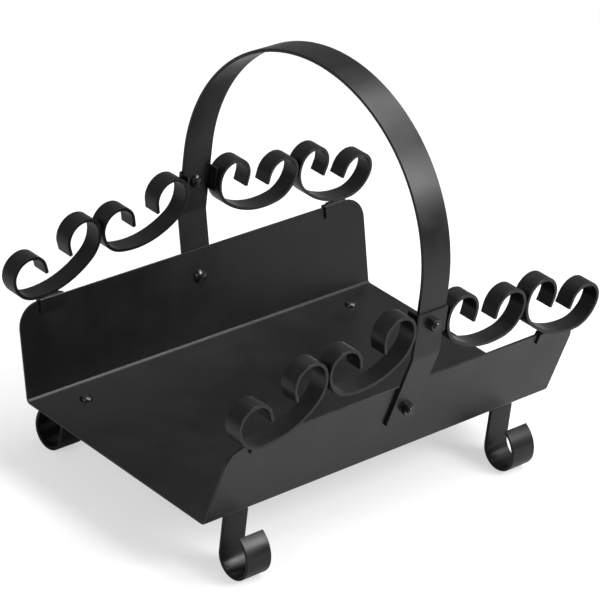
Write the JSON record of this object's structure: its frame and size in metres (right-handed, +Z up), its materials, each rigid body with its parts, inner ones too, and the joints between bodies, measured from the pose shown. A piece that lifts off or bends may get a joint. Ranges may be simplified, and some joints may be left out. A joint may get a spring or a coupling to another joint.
{
  "type": "log holder",
  "caption": "Hearth log holder: a folded sheet tray with leaning walls, an arched flat-bar handle, C-scroll rails along both sides and curled feet.",
  "frame": {"origin": "on the ground, under the middle of the tray", "axes": "+Z up, X along the tray's open length, Y across it from wall to wall"},
  "size_m": [0.4002, 0.304, 0.3685],
  "materials": {
    "sheet": "satin",
    "bar": "satin",
    "fasteners": "satin",
    "welds": "satin"
  },
  "bodies": {
    "root": {"tray": "sheet", "handle": "bar", "bracket_front": "bar", "bracket_rear": "bar", "scroll_front_1": "bar", "scroll_front_2": "bar", "scroll_front_3": "bar", "scroll_front_4": "bar", "scroll_rear_1": "bar", "scroll_rear_2": "bar", "scroll_rear_3": "bar", "scroll_rear_4": "bar", "clip_front_1": "bar", "clip_front_2": "bar", "clip_rear_1": "bar", "clip_rear_2": "bar", "foot_front_1": "bar", "foot_front_2": "bar", "foot_rear_1": "bar", "foot_rear_2": "bar", "bracket_bolt_front": "fasteners", "bracket_bolt_rear": "fasteners", "bracket_nut_front": "fasteners", "bracket_nut_rear": "fasteners", "leg_bolt_front": "fasteners", "leg_bolt_rear": "fasteners", "leg_nut_front": "fasteners", "leg_nut_rear": "fasteners", "foot_bolts": "fasteners", "foot_nuts": "fasteners", "weld_curls": "welds", "weld_brackets": "welds", "weld_clips": "welds"}
  },
  "joints": []
}
